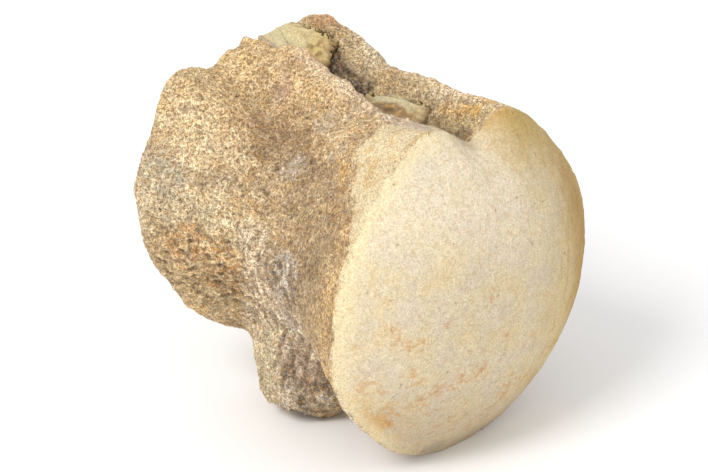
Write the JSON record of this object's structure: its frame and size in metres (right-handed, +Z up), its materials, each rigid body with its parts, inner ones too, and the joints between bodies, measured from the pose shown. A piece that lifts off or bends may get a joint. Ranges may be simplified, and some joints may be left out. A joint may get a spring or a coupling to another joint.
{
  "type": "fossil mosasaur vertebra",
  "caption": "Broken fossil neck vertebra of a mosasaur: domed condyle, cupped cotyle, stumps of the neural arch and rib facets, sandstone left in the canal; lies as it rests.",
  "frame": {"origin": "on the table, under the middle of the bone's box", "axes": "+X along the centrum towards the condyle, level; +Z up as the bone lies; +Y to the animal's right, with the back of the bone rolled 10 degrees towards it"},
  "size_m": [0.0648, 0.0676, 0.0642],
  "materials": {
    "fossil_bone": "mineralised bone, matt and grainy; the condyle is smooth cream, the sides are coarse tan and brown",
    "matrix_sandstone": "soft pale green-grey sandstone, matt"
  },
  "bodies": {
    "root": {"vertebra": "fossil_bone", "canal_matrix_front": "matrix_sandstone", "canal_matrix_rear": "matrix_sandstone"}
  },
  "joints": []
}
